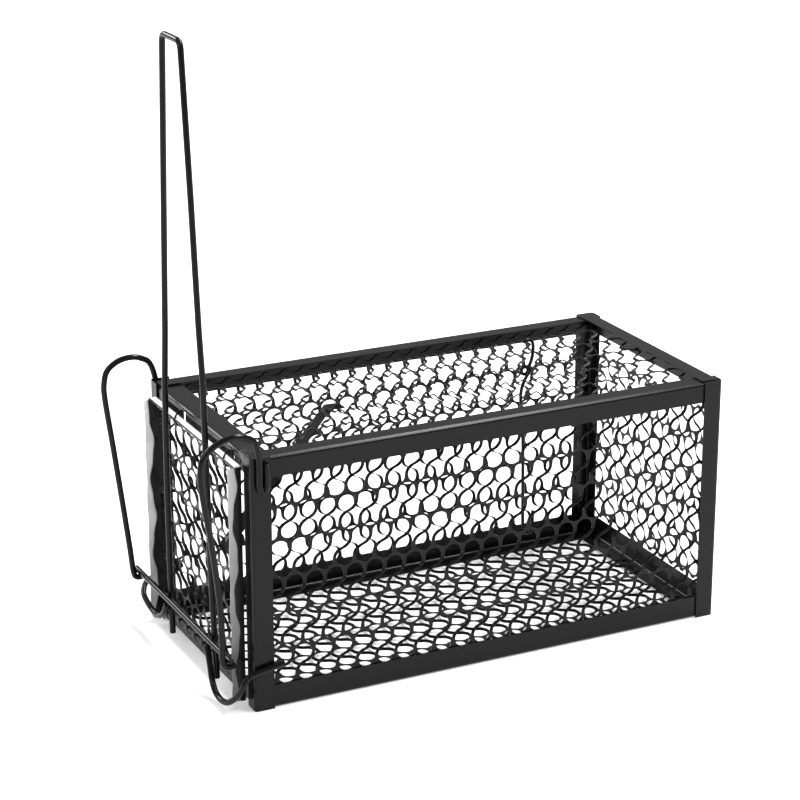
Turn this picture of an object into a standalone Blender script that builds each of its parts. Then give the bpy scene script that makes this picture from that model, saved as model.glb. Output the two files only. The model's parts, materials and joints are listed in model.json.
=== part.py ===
"""Live catch trap: a sheet-metal and mesh cage with a top-hung door, a tall wire lever and a bait trigger.

Metres, +Z up. X runs along the cage, with the door at its -X end. The near side is -Y. The origin is on the
floor, below the middle of the whole trap. The door and the trigger stand as they do when the trap is shut.
"""

import math

import bmesh
import bpy
from mathutils import Vector

# Cage
CAGE_LENGTH = 0.260
CAGE_WIDTH = 0.130
CAGE_HEIGHT = 0.130

# Sheet metal
SHEET = 0.0006
GAP = 0.0003
LAYER = SHEET + GAP
BEND_RADIUS = 0.0016
BEND_STEPS = 3
POST_SIDE_LEG = 0.0103
POST_END_LEG = 0.0086
TOP_RAIL_DROP = 0.0104
TOP_RAIL_LEG = 0.0098
BOTTOM_RAIL_RISE = 0.0118
BOTTOM_RAIL_LEG = 0.0098
HEADER_DROP = 0.0085
HEADER_LEG = 0.0120

# Mesh panels: zigzag rows of strand joined by short links
PANEL_MARGIN = 0.0076
ROW_SPACING = 0.0184
LINK_PITCH = 0.0290
STRAND = 0.0014
ZIGZAG = 0.0016
SMALLEST_CELL = 0.004

# Wire
WIRE_RADIUS = 0.00155
RING_WIRE_RADIUS = 0.0005
TRIGGER_WIRE_RADIUS = 0.0009
WIRE_SIDES = 8
FINE_WIRE_SIDES = 6
WIRE_STEP = 0.0045

# Door
DOOR_HALF_WIDTH = 0.0550
DOOR_BOTTOM = 0.0020
DOOR_TOP = 0.1235
DOOR_MARGIN = 0.0030
FLANGE_DEPTH = 0.0067
LIP_DEPTH = 0.0040
HEM_DEPTH = 0.0032
HEM_WAVE = 0.0011
HEM_WAVE_LENGTH = 0.037
HEM_STEPS = 24
BAR_HEIGHT = 0.0268
BAR_NEAR_END = -0.0605
BAR_FAR_END = 0.0675

# Lever: (sideways, up) from the near foot over the top to the far foot
LEVER_FOOT = 0.0062
LEVER_TOP = 0.3158
LEVER_PATH = (
    (-0.0333, LEVER_FOOT),
    (-0.0290, 0.0590),
    (-0.0260, 0.1270),
    (-0.0252, 0.1550),
    (-0.0220, 0.1800),
    (-0.0163, 0.2430),
    (-0.0086, LEVER_TOP),
    (0.0142, LEVER_TOP),
    (0.0190, 0.2350),
    (0.0229, 0.1690),
    (0.0256, 0.1400),
    (0.0270, 0.0890),
    (0.0268, 0.0480),
    (0.0258, LEVER_FOOT),
)
LEVER_CORNER_RADIUS = 0.004

# Hinge rings
RING_RADIUS = 0.0040
RING_DROP = 0.0008
RING_PLACES = (("near", -0.0420), ("far", 0.0205))
RING_SLOT_WIDTH = 0.0032
RING_SLOT_HEIGHT = 0.0074

# The springs bow out ahead of the door, which sets how far the trap reaches at that end
SPRING_SIDE = CAGE_WIDTH / 2 + GAP + WIRE_RADIUS
NEAR_BOW = 0.0258
FAR_BOW = 0.0240
REACH = NEAR_BOW + WIRE_RADIUS
FRONT = -(CAGE_LENGTH - REACH) / 2
REAR = FRONT + CAGE_LENGTH
SIDE = CAGE_WIDTH / 2

HINGE = Vector((FRONT, 0.0, CAGE_HEIGHT + 0.001))
LEVER_X = FRONT - 0.0068
BAR_X = LEVER_X - 2 * WIRE_RADIUS - GAP
TOP_MESH_TOP = CAGE_HEIGHT - 3 * LAYER
TRIGGER_X = FRONT + 0.1816
COIL_RADIUS = 0.0023
PIVOT = Vector((TRIGGER_X, 0.0, TOP_MESH_TOP - SHEET / 2))

X = Vector((1.0, 0.0, 0.0))
Y = Vector((0.0, 1.0, 0.0))
Z = Vector((0.0, 0.0, 1.0))

NEAR_AND_FAR = (("near", -1), ("far", 1))


def material(name, color, roughness, metallic):
    made = bpy.data.materials.new(name)
    made.use_nodes = True
    shader = made.node_tree.nodes["Principled BSDF"]
    shader.inputs["Base Color"].default_value = (*color, 1.0)
    shader.inputs["Roughness"].default_value = roughness
    shader.inputs["Metallic"].default_value = metallic
    return made


def place(name, bm, look, pivot=None):
    """Turns a bmesh in world coordinates into an object, with its origin on its pivot if it has one."""
    origin = pivot.location.copy() if pivot else Vector()
    bmesh.ops.recalc_face_normals(bm, faces=bm.faces)
    bmesh.ops.translate(bm, verts=bm.verts, vec=-origin)
    mesh = bpy.data.meshes.new(name)
    bm.to_mesh(mesh)
    bm.free()
    mesh.shade_smooth()
    mesh.set_sharp_from_angle(angle=math.radians(35))
    mesh.materials.append(look)
    made = bpy.data.objects.new(name, mesh)
    bpy.context.collection.objects.link(made)
    if pivot:
        made.parent = pivot
    return made


def pivot_empty(name, location):
    empty = bpy.data.objects.new(name, None)
    empty.location = location
    bpy.context.collection.objects.link(empty)
    return empty


def extrude_outline(outline, along):
    """Makes a closed prism from a flat outline."""
    bm = bmesh.new()
    face = bm.faces.new([bm.verts.new(point) for point in outline])
    grown = bmesh.ops.extrude_face_region(bm, geom=[face])["geom"]
    bmesh.ops.translate(bm, verts=[g for g in grown if isinstance(g, bmesh.types.BMVert)], vec=along)
    return bm


def box(low, high):
    low = Vector(low)
    high = Vector(high)
    outline = [low, (high.x, low.y, low.z), (high.x, high.y, low.z), (low.x, high.y, low.z)]
    return extrude_outline(outline, Z * (high.z - low.z))


def angle_bar(name, corner, first, second, along, look):
    """An L-shaped strip: two (direction, width) legs that meet in a rounded bend at its outer corner."""
    first_way, first_leg = first
    second_way, second_leg = second
    way_1 = Vector(first_way)
    way_2 = Vector(second_way)
    corner = Vector(corner)

    def at(a, b):
        return corner + way_1 * a + way_2 * b

    def bend(radius):
        for step in range(BEND_STEPS + 1):
            turn = math.pi / 2 * step / BEND_STEPS
            yield at(BEND_RADIUS - radius * math.sin(turn), BEND_RADIUS - radius * math.cos(turn))

    outline = [at(first_leg, SHEET), at(first_leg, 0.0)]
    outline += list(bend(BEND_RADIUS))
    outline += [at(0.0, second_leg), at(SHEET, second_leg)]
    outline += list(bend(BEND_RADIUS - SHEET))[::-1]
    return place(name, extrude_outline(outline, Vector(along)), look)


def zigzag_height(distance, row):
    phase = (distance / LINK_PITCH + row / 2) % 1.0
    return ZIGZAG * (1 - 4 * abs(phase - 0.5))


def mesh_cells(width, height, shift, rows):
    """Outlines of the six-sided openings between the zigzag rows, as loops of flat (across, up) points."""
    spacing = (height - 2 * PANEL_MARGIN) / rows
    left_end = PANEL_MARGIN
    right_end = width - PANEL_MARGIN

    def edge(level, positions, side):
        base = PANEL_MARGIN + level * spacing
        if level in (0, rows):
            return [(positions[0], base), (positions[-1], base)]
        return [(p, base + zigzag_height(p - shift, level) + side * STRAND / 2) for p in positions]

    for row in range(rows):
        link = shift + (0.5 - row / 2) * LINK_PITCH
        link -= math.ceil((link - left_end) / LINK_PITCH + 1) * LINK_PITCH
        while link < right_end:
            left = max(link + STRAND / 2, left_end)
            right = min(link + LINK_PITCH - STRAND / 2, right_end)
            middle = link + LINK_PITCH / 2
            link += LINK_PITCH
            if right - left < SMALLEST_CELL:
                continue
            positions = [left, right]
            if left + STRAND < middle < right - STRAND:
                positions.insert(1, middle)
            yield edge(row, positions, 1) + edge(row + 1, positions, -1)[::-1]


def mesh_panel(name, corner, across, up, thick, look, shift=0.0, rows=None, holes=(), pivot=None):
    """A flat grille. The vectors across and up run along its sides, and thick is its thickness."""
    corner = Vector(corner)
    width = across.length
    height = up.length
    right = across.normalized()
    upward = up.normalized()
    if rows is None:
        rows = round((height - 2 * PANEL_MARGIN) / ROW_SPACING)
    loops = [[(0, 0), (width, 0), (width, height), (0, height)]]
    loops += list(mesh_cells(width, height, shift, rows))
    for (left, low), (far, high) in holes:
        loops.append([(left, low), (far, low), (far, high), (left, high)])
    bm = bmesh.new()
    edges = []
    for loop in loops:
        verts = [bm.verts.new(corner + right * a + upward * b) for a, b in loop]
        edges += [bm.edges.new((verts[i], verts[i - 1])) for i in range(len(verts))]
    bmesh.ops.triangle_fill(bm, edges=edges, use_beauty=True, use_dissolve=False)
    grown = bmesh.ops.extrude_face_region(bm, geom=list(bm.faces))["geom"]
    bmesh.ops.translate(bm, verts=[g for g in grown if isinstance(g, bmesh.types.BMVert)], vec=thick)
    return place(name, bm, look, pivot)


def smooth_path(controls, step=WIRE_STEP):
    """A Catmull-Rom curve through the controls, with points about one step apart."""
    knots = [Vector(c) for c in controls]
    ends = [2 * knots[0] - knots[1]] + knots + [2 * knots[-1] - knots[-2]]
    points = [knots[0]]
    for a, b, c, d in zip(ends, ends[1:], ends[2:], ends[3:]):
        count = max(2, math.ceil((c - b).length / step))
        for i in range(1, count + 1):
            t = i / count
            bent = 2 * b + (c - a) * t + (2 * a - 5 * b + 4 * c - d) * t**2 + (3 * b - a - 3 * c + d) * t**3
            points.append(bent / 2)
    return points


def rounded_path(controls, radius, steps=4):
    """Straight runs between the controls, with each corner cut to a curve."""
    knots = [Vector(c) for c in controls]
    points = [knots[0]]
    for before, knot, after in zip(knots, knots[1:], knots[2:]):
        start = knot + (before - knot).normalized() * radius
        end = knot + (after - knot).normalized() * radius
        for i in range(steps + 1):
            t = i / steps
            points.append(start * (1 - t) ** 2 + knot * 2 * t * (1 - t) + end * t**2)
    return points + [knots[-1]]


def wire(name, points, radius, look, sides=WIRE_SIDES, pivot=None, closed=False):
    """A round wire along the points. The ring of each point is turned with the path, so it never twists."""
    count = len(points)
    bm = bmesh.new()
    rings = []
    normal = None
    for i, point in enumerate(points):
        before = points[i - 1] if closed or i else points[i]
        after = points[(i + 1) % count] if closed or i < count - 1 else points[i]
        tangent = (after - before).normalized()
        if normal is None:
            normal = tangent.orthogonal()
        normal = (normal - tangent * normal.dot(tangent)).normalized()
        other = tangent.cross(normal)
        turns = [2 * math.pi * s / sides for s in range(sides)]
        rings.append([bm.verts.new(point + (normal * math.cos(t) + other * math.sin(t)) * radius) for t in turns])
    pairs = list(zip(rings, rings[1:]))
    if closed:
        pairs.append((rings[-1], rings[0]))
    for ring, following in pairs:
        for s in range(sides):
            e = (s + 1) % sides
            bm.faces.new((ring[s], ring[e], following[e], following[s]))
    if not closed:
        bm.faces.new(rings[0])
        bm.faces.new(rings[-1])
    return place(name, bm, look, pivot)


def cut(target, name, low, high):
    """Cuts a box-shaped notch in an object."""
    cutter = place(name, box(low, high), target.data.materials[0])
    cutter.hide_render = True
    cutter.display_type = "WIRE"
    notch = target.modifiers.new(name, "BOOLEAN")
    notch.operation = "DIFFERENCE"
    notch.object = cutter


def build_frame(enamel):
    """Posts outermost, long rails inside them, cross members inside those, and the rear strip over the top."""
    for side_name, way in NEAR_AND_FAR:
        inward = (0, -way, 0)
        for end_name, x, back in (("front", FRONT, 1), ("rear", REAR, -1)):
            angle_bar(
                f"{side_name}_{end_name}_post",
                (x, way * SIDE, 0.0),
                ((back, 0, 0), POST_SIDE_LEG),
                (inward, POST_END_LEG),
                Z * (CAGE_HEIGHT - GAP),
                enamel,
            )
        run = X * (CAGE_LENGTH - 5 * LAYER)
        start = (FRONT + 2 * LAYER, way * (SIDE - LAYER))
        angle_bar(
            f"{side_name}_top_rail",
            (*start, CAGE_HEIGHT - LAYER),
            ((0, 0, -1), TOP_RAIL_DROP),
            (inward, TOP_RAIL_LEG),
            run,
            enamel,
        )
        angle_bar(
            f"{side_name}_bottom_rail",
            (*start, 0.0),
            ((0, 0, 1), BOTTOM_RAIL_RISE),
            (inward, BOTTOM_RAIL_LEG),
            run,
            enamel,
        )

    inner = SIDE - 3 * LAYER
    header = angle_bar(
        "door_header",
        (FRONT + LAYER, -inner, CAGE_HEIGHT - 2 * LAYER),
        ((0, 0, -1), HEADER_DROP),
        ((1, 0, 0), HEADER_LEG),
        Y * 2 * inner,
        enamel,
    )
    slot_low = CAGE_HEIGHT - 2 * LAYER - HEADER_DROP
    for side_name, middle in RING_PLACES:
        cut(
            header,
            f"{side_name}_ring_slot",
            (FRONT, middle - RING_SLOT_WIDTH / 2, slot_low - SHEET),
            (FRONT + 3 * LAYER, middle + RING_SLOT_WIDTH / 2, slot_low + RING_SLOT_HEIGHT),
        )
    angle_bar(
        "door_sill",
        (FRONT + LAYER, -inner, LAYER),
        ((0, 0, 1), BOTTOM_RAIL_RISE),
        ((1, 0, 0), BOTTOM_RAIL_LEG),
        Y * 2 * inner,
        enamel,
    )
    angle_bar(
        "rear_bottom_rail",
        (REAR - LAYER, -inner, LAYER),
        ((0, 0, 1), BOTTOM_RAIL_RISE),
        ((-1, 0, 0), BOTTOM_RAIL_LEG),
        Y * 2 * inner,
        enamel,
    )
    lapped = SIDE - 2 * LAYER
    angle_bar(
        "rear_top_strip",
        (REAR - LAYER, -lapped, CAGE_HEIGHT),
        ((0, 0, -1), TOP_RAIL_DROP),
        ((-1, 0, 0), TOP_RAIL_LEG),
        Y * 2 * lapped,
        enamel,
    )


def build_panels(steel_mesh):
    """The cage's five grilles, all on the inside of the frame."""
    length = X * (CAGE_LENGTH - 3 * LAYER)
    height = Z * (CAGE_HEIGHT - 5 * LAYER)
    for side_name, way in NEAR_AND_FAR:
        mesh_panel(
            f"{side_name}_side_mesh",
            (FRONT + LAYER, way * (SIDE - 2 * LAYER), 2 * LAYER),
            length,
            height,
            Y * -way * SHEET,
            steel_mesh,
        )
    inner = SIDE - 3 * LAYER
    flat_length = X * (CAGE_LENGTH - 6 * LAYER)
    corner_x = FRONT + 3 * LAYER
    link_shift = TRIGGER_X - corner_x - LINK_PITCH / 2
    mesh_panel("top_mesh", (corner_x, -inner, TOP_MESH_TOP), flat_length, Y * 2 * inner, Z * -SHEET, steel_mesh,
               shift=link_shift, rows=5)
    mesh_panel("floor_mesh", (corner_x, -inner, 2 * LAYER), flat_length, Y * 2 * inner, Z * SHEET, steel_mesh)
    rear_height = Z * (CAGE_HEIGHT - 7 * LAYER)
    mesh_panel("rear_mesh", (REAR - 2 * LAYER, -inner, 3 * LAYER), Y * 2 * inner, rear_height, X * -SHEET, steel_mesh)


def build_door(enamel, steel_mesh, bright_steel, wire_steel, hinge):
    width = 2 * DOOR_HALF_WIDTH
    hole_height = DOOR_TOP - DOOR_BOTTOM - DOOR_MARGIN
    holes = []
    half = RING_SLOT_WIDTH / 2
    for _, place_along in RING_PLACES:
        middle = DOOR_HALF_WIDTH + place_along
        holes.append(((middle - half, hole_height - RING_SLOT_WIDTH), (middle + half, hole_height)))
    mesh_panel(
        "door_mesh",
        (FRONT, -DOOR_HALF_WIDTH, DOOR_BOTTOM),
        Y * width,
        Z * (DOOR_TOP - DOOR_BOTTOM),
        X * -SHEET,
        steel_mesh,
        shift=DOOR_HALF_WIDTH,
        holes=holes,
        pivot=hinge,
    )

    face = FRONT - LAYER
    low = DOOR_BOTTOM + SHEET
    high = DOOR_TOP - LAYER
    for side_name, way in NEAR_AND_FAR:
        edges = sorted((way * DOOR_HALF_WIDTH, way * (DOOR_HALF_WIDTH - SHEET)))
        flange = box((face - FLANGE_DEPTH, edges[0], low), (face, edges[1], high))
        place(f"{side_name}_door_flange", flange, bright_steel, hinge)
        build_hem(f"{side_name}_door_hem", way, face, low, high, steel_mesh, hinge)

    half = DOOR_HALF_WIDTH
    lip_shape = box((face - LIP_DEPTH, -half, DOOR_TOP - SHEET), (face, half, DOOR_TOP))
    lip = place("door_top_lip", lip_shape, enamel, hinge)
    for side_name, middle in RING_PLACES:
        cut(
            lip,
            f"{side_name}_lip_notch",
            (face - LIP_DEPTH - SHEET, middle - RING_SLOT_WIDTH / 2, DOOR_TOP - 3 * SHEET),
            (FRONT - RING_RADIUS + LAYER, middle + RING_SLOT_WIDTH / 2, DOOR_TOP + 2 * SHEET),
        )

    bar = [(BAR_X, BAR_NEAR_END, BAR_HEIGHT), (BAR_X, BAR_FAR_END, BAR_HEIGHT)]
    wire("cross_bar", [Vector(p) for p in bar], WIRE_RADIUS, wire_steel, pivot=hinge)

    outline = [(LEVER_X, y, z) for y, z in LEVER_PATH]
    wire("lever", rounded_path(outline, LEVER_CORNER_RADIUS), WIRE_RADIUS, wire_steel, pivot=hinge)

    build_catch_loops(wire_steel, hinge)
    for side_name, place_along in RING_PLACES:
        middle = Vector((FRONT, place_along, DOOR_TOP - RING_DROP))
        turns = [2 * math.pi * i / 16 for i in range(16)]
        ring = [middle + (X * math.cos(t) + Z * math.sin(t)) * RING_RADIUS for t in turns]
        wire(f"{side_name}_hinge_ring", ring, RING_WIRE_RADIUS, wire_steel, FINE_WIRE_SIDES, hinge, closed=True)


def build_hem(name, way, face, low, high, look, hinge):
    """The folded edge of the door's mesh, whose free edge is wavy where it was cut along a row of openings."""
    side = way * (DOOR_HALF_WIDTH + GAP)
    outline = [Vector((face, side, high)), Vector((face, side, low))]
    for i in range(HEM_STEPS + 1):
        z = low + (high - low) * i / HEM_STEPS
        depth = HEM_DEPTH + HEM_WAVE * math.cos(2 * math.pi * z / HEM_WAVE_LENGTH)
        outline.append(Vector((face - depth, side, z)))
    place(name, extrude_outline(outline, Y * way * SHEET), look, hinge)


def build_catch_loops(look, hinge):
    """Two springy wires that hang from the bar's ends and turn back along the outside of the cage."""
    near = [
        (BAR_X, 0.0296, 0.0232),
        (BAR_X - 0.0003, 0.0332, 0.0160),
        (BAR_X - 0.0010, 0.0388, 0.0064),
        (BAR_X - 0.0014, 0.0464, 0.0028),
        (BAR_X - 0.0010, 0.0556, 0.0036),
        (BAR_X + 0.0010, 0.0622, 0.0082),
        (FRONT - 0.0066, SPRING_SIDE, 0.0156),
        (FRONT - 0.0044, SPRING_SIDE, 0.0196),
        (FRONT - 0.0008, SPRING_SIDE, 0.0212),
        (FRONT + 0.0054, SPRING_SIDE, 0.0222),
        (FRONT + 0.0148, SPRING_SIDE, 0.0240),
    ]
    far = [
        (BAR_X, 0.0242, 0.0232),
        (BAR_X, 0.0280, 0.0174),
        (BAR_X, 0.0345, 0.0128),
        (BAR_X, 0.0420, 0.0115),
        (BAR_X, 0.0520, 0.0130),
        (BAR_X + 0.0010, 0.0605, 0.0152),
        (FRONT - 0.0055, SPRING_SIDE - 0.0003, 0.0180),
        (FRONT - 0.0015, SPRING_SIDE, 0.0202),
        (FRONT + 0.0050, SPRING_SIDE, 0.0220),
        (FRONT + 0.0152, SPRING_SIDE, 0.0241),
    ]
    for side_name, way, controls in (("near", -1, near), ("far", 1, far)):
        path = smooth_path([(x, way * y, z) for x, y, z in controls])
        wire(f"{side_name}_catch_loop", path, WIRE_RADIUS, look, pivot=hinge)


def build_springs(look):
    """A hairpin on each front post's side, an arch over the corner, a long bow and a hook under the bar."""
    hook = WIRE_RADIUS * 2 + GAP * 1.5
    shared = [
        (FRONT + 0.0074, SPRING_SIDE, 0.1270),
        (FRONT + 0.0074, SPRING_SIDE, 0.1165),
        (FRONT + 0.0056, SPRING_SIDE, 0.1128),
        (FRONT + 0.0038, SPRING_SIDE, 0.1165),
        (FRONT + 0.0038, SPRING_SIDE, 0.1275),
    ]
    near = [
        (FRONT + 0.0020, SPRING_SIDE, 0.1376),
        (FRONT - 0.0025, SPRING_SIDE, 0.1413),
        (FRONT - 0.0090, SPRING_SIDE, 0.1426),
        (FRONT - 0.0156, SPRING_SIDE, 0.1410),
        (FRONT - 0.0212, SPRING_SIDE, 0.1378),
        (FRONT - 0.0248, SPRING_SIDE, 0.1325),
        (FRONT - NEAR_BOW, SPRING_SIDE, 0.1240),
        (FRONT - 0.0238, SPRING_SIDE, 0.1090),
        (FRONT - 0.0208, SPRING_SIDE - 0.0016, 0.0930),
        (FRONT - 0.0156, SPRING_SIDE - 0.0056, 0.0600),
        (FRONT - 0.0140, SPRING_SIDE - 0.0078, 0.0410),
    ]
    far = [
        (FRONT + 0.0010, SPRING_SIDE, 0.1373),
        (FRONT - 0.0037, SPRING_SIDE, 0.1408),
        (FRONT - 0.0090, SPRING_SIDE, 0.1421),
        (FRONT - 0.0160, SPRING_SIDE, 0.1410),
        (FRONT - 0.0220, SPRING_SIDE, 0.1367),
        (FRONT - FAR_BOW, SPRING_SIDE, 0.1295),
        (FRONT - 0.0237, SPRING_SIDE, 0.1210),
        (FRONT - 0.0210, SPRING_SIDE - 0.0004, 0.0990),
        (FRONT - 0.0172, SPRING_SIDE - 0.0014, 0.0660),
        (FRONT - 0.0146, SPRING_SIDE - 0.0030, 0.0400),
    ]
    for side_name, way, bow, hook_side in (("near", -1, near, 0.0580), ("far", 1, far, 0.0633)):
        bottom = [
            (BAR_X - hook * 0.9, hook_side, BAR_HEIGHT + 0.0002),
            (BAR_X - hook * 0.5, hook_side, BAR_HEIGHT - hook * 0.87),
            (BAR_X + hook * 0.2, hook_side, BAR_HEIGHT - hook),
            (BAR_X + hook * 0.9, hook_side, BAR_HEIGHT - hook * 0.8),
        ]
        controls = shared + bow + bottom
        path = smooth_path([(x, way * y, z) for x, y, z in controls])
        wire(f"{side_name}_spring", path, WIRE_RADIUS, look, FINE_WIRE_SIDES)


def build_trigger(look, pivot):
    """A hook above the cage top, one turn round a strand of the mesh, and a bait hook that hangs inside."""
    x, z = PIVOT.x, PIVOT.z
    side_step = TRIGGER_WIRE_RADIUS + GAP
    above = [
        (x - 0.0008, side_step, z + 0.0147),
        (x + 0.0014, side_step, z + 0.0158),
        (x + 0.0040, side_step, z + 0.0150),
        (x + 0.0051, side_step, z + 0.0126),
        (x + 0.0048, side_step, z + 0.0070),
        (x + 0.0036, side_step, z + 0.0028),
    ]
    turn_steps = 10
    turn = []
    for i in range(turn_steps + 1):
        share = i / turn_steps
        angle = math.radians(15 - 375 * share)
        offset = side_step * (1 - 2 * share)
        turn.append((x + COIL_RADIUS * math.cos(angle), offset, z + COIL_RADIUS * math.sin(angle)))
    below = [
        (x - 0.0012, -side_step, z - 0.0056),
        (x - 0.0030, -side_step, z - 0.0120),
        (x - 0.0022, -side_step * 0.5, z - 0.0220),
        (x - 0.0006, 0.0, z - 0.0400),
        (x + 0.0002, 0.0, z - 0.0860),
        (x + 0.0016, 0.0, z - 0.0905),
        (x + 0.0044, 0.0, z - 0.0912),
        (x + 0.0058, 0.0, z - 0.0880),
        (x + 0.0060, 0.0, z - 0.0790),
    ]
    path = smooth_path(above + turn + below, step=0.0060)
    wire("bait_trigger", path, TRIGGER_WIRE_RADIUS, look, FINE_WIRE_SIDES, pivot)


def build_strap(look):
    """A flat strap that slopes down from the top mesh towards the door, wider at its low end."""
    ceiling = TOP_MESH_TOP - SHEET - GAP
    stations = [
        (FRONT + 0.0770, ceiling, 0.0038),
        (FRONT + 0.0690, ceiling, 0.0038),
        (FRONT + 0.0100, 0.0580, 0.0056),
    ]
    slope = Vector((stations[1][0] - stations[2][0], 0.0, ceiling - stations[2][1])).normalized()
    tilt = Vector((slope.z, 0.0, -slope.x)) * SHEET
    thick = [Z * -SHEET, (Z * -SHEET + tilt) * 0.65, tilt]
    bm = bmesh.new()
    rings = []
    for (x, z, half), inward in zip(stations, thick):
        corners = [Vector((x, -half, z)), Vector((x, half, z))]
        corners += [corners[1] + inward, corners[0] + inward]
        rings.append([bm.verts.new(c) for c in corners])
    for ring, following in zip(rings, rings[1:]):
        for s in range(4):
            e = (s + 1) % 4
            bm.faces.new((ring[s], ring[e], following[e], following[s]))
    bm.faces.new(rings[0])
    bm.faces.new(rings[-1])
    place("inner_strap", bm, look)


def main():
    for old in list(bpy.data.objects):
        bpy.data.objects.remove(old, do_unlink=True)

    enamel = material("black_enamel", (0.018, 0.018, 0.019), 0.28, 0.0)
    steel_mesh = material("black_mesh", (0.022, 0.022, 0.023), 0.36, 0.0)
    wire_steel = material("black_wire", (0.020, 0.020, 0.021), 0.25, 0.0)
    bright_steel = material("bright_sheet", (0.55, 0.55, 0.56), 0.35, 0.9)

    door_hinge = pivot_empty("door_hinge", HINGE)
    trigger_pivot = pivot_empty("trigger_pivot", PIVOT)
    build_frame(enamel)
    build_panels(steel_mesh)
    build_door(enamel, steel_mesh, bright_steel, wire_steel, door_hinge)
    build_springs(wire_steel)
    build_trigger(wire_steel, trigger_pivot)
    build_strap(enamel)


main()
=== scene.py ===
"""Live catch trap: the visual model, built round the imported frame. Metres, +Z up, door at the -X end."""

import json
import math

import bmesh
import bpy
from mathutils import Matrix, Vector, noise


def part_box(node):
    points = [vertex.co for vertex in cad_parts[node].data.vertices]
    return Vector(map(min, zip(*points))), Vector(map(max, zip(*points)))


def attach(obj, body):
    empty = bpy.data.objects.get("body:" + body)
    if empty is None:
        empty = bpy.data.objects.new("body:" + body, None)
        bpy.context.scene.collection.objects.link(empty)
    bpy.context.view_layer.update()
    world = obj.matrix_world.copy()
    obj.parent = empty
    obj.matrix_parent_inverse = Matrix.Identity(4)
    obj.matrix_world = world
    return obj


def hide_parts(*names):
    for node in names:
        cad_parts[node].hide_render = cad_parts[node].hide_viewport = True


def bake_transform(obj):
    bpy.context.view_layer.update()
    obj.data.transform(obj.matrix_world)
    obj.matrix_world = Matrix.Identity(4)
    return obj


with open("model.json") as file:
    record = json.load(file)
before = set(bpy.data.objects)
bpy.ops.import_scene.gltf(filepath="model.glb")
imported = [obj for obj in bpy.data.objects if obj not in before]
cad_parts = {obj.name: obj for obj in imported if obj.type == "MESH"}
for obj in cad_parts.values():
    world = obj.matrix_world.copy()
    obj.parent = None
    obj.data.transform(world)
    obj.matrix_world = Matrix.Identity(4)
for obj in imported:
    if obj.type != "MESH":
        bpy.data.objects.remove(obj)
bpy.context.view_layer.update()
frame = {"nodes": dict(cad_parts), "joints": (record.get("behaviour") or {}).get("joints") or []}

X = Vector((1.0, 0.0, 0.0))
Y = Vector((0.0, 1.0, 0.0))
Z = Vector((0.0, 0.0, 1.0))
NEAR_AND_FAR = (("near", -1), ("far", 1))

# Unseeded, noise_vector gives other values in each run
noise.seed_set(1)

# Places taken from the frame
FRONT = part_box("near_front_post")[0][0]
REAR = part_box("near_rear_post")[1][0]
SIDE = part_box("far_front_post")[1][1]
CAGE_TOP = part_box("rear_top_strip")[1][2]
BAR_LOW, BAR_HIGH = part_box("cross_bar")
WIRE_RADIUS = (BAR_HIGH[2] - BAR_LOW[2]) / 2
BAR_X = (BAR_LOW[0] + BAR_HIGH[0]) / 2
BAR_Z = (BAR_LOW[2] + BAR_HIGH[2]) / 2
LEVER_LOW, LEVER_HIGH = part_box("lever")
LEVER_X = (LEVER_LOW[0] + LEVER_HIGH[0]) / 2
LEVER_TOP = LEVER_HIGH[2] - WIRE_RADIUS
LEVER_FOOT = LEVER_LOW[2]
SPRING_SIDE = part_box("far_spring")[1][1] - WIRE_RADIUS
DOOR_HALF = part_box("door_mesh")[1][1]
JOINTS = {joint["name"]: joint for joint in frame["joints"]}
PIVOT = Vector(JOINTS["trigger_pivot"]["pos_m"])

# Mesh: zigzag rows of small islands joined by S-shaped links
PITCH = 0.01064
PERIOD = 0.01845
STRAND_THICK = 0.0004
ISLAND_RISE = 0.0015
LINK_LEAN = 0.00858
TWIST = math.radians(78)
LINK_WIDTH = 0.00155
LINK_ROOT_EXTRA = 0.0010
RIB_WIDTH = 0.00105
# Half of a link's middle line, from its upper island to its middle
LINK_HALF = (
    (0.00429, 0.00707),
    (0.00442, 0.00580),
    (0.00436, 0.00440),
    (0.00388, 0.00285),
    (0.00265, 0.00140),
    (0.00120, 0.00050),
    (0.0, 0.0),
)
# A lower island's corners, and the pairs of corners at its sides. An upper island is the same, upside down
ISLAND_CORNERS = {"peak": (0.0, 0.00135), "right": (0.0012, -0.00065), "left": (-0.0012, -0.00065)}
ISLAND_SIDES = {"right": ("peak", "right"), "left": ("left", "peak"), "leg": ("left", "right")}
# The middle of one link on each panel, from the panel's left end as seen from outside, and from the floor
NEAR_LINK = (0.0117, 0.1130)
FAR_LINK = (0.0060, 0.1130)
TOP_LINK = (0.0985, 0.0996)
TOP_PITCH = 0.0103
TOP_PERIOD = 0.0192
FLOOR_LINK = (0.0040, 0.0900)
REAR_LINK = (0.0200, 0.0600)
DOOR_LINK = (0.0415, 0.1085)
DOOR_LEAN = 0.0106
TOP_SAG = 0.0019
# The sheet's unevenness: its scale, and how far places move in the sheet and out of it
DENT_SCALE = 28
DENT_ALONG = 0.00028
DENT_OUT = 0.0005

# Door
HEM_GAP = 0.0001
HEM_DEPTH = 0.0033
HEM_WAVE = 0.0012
HEM_WAVE_LENGTH = 0.0385
HEM_PHASE = {-1: 0.0565, 1: 0.0790}
FLANGE_CHAMFER = 0.0030
TOP_STRIP_HEIGHT = 0.0036
TOP_STRIP_INSET = 0.0012
TOP_STRIP_TAPER = 0.0020
TOP_STRIP_THICK = 0.0004
TOP_STRIP_GAP = 0.0002
FLANGE_WAVE = 0.00025
LIP_RIM = 0.0006
LIP_RIM_GAP = 0.00005
LIP_NOTCH_HALF = 0.0009
LIP_NOTCH_DEPTH = 0.0022

# Inner strap
STRAP_THICK = 0.0006
STRAP_HALF = 0.0038
STRAP_FOOT_HALF = 0.0056
STRAP_PAD = 0.0080

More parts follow.
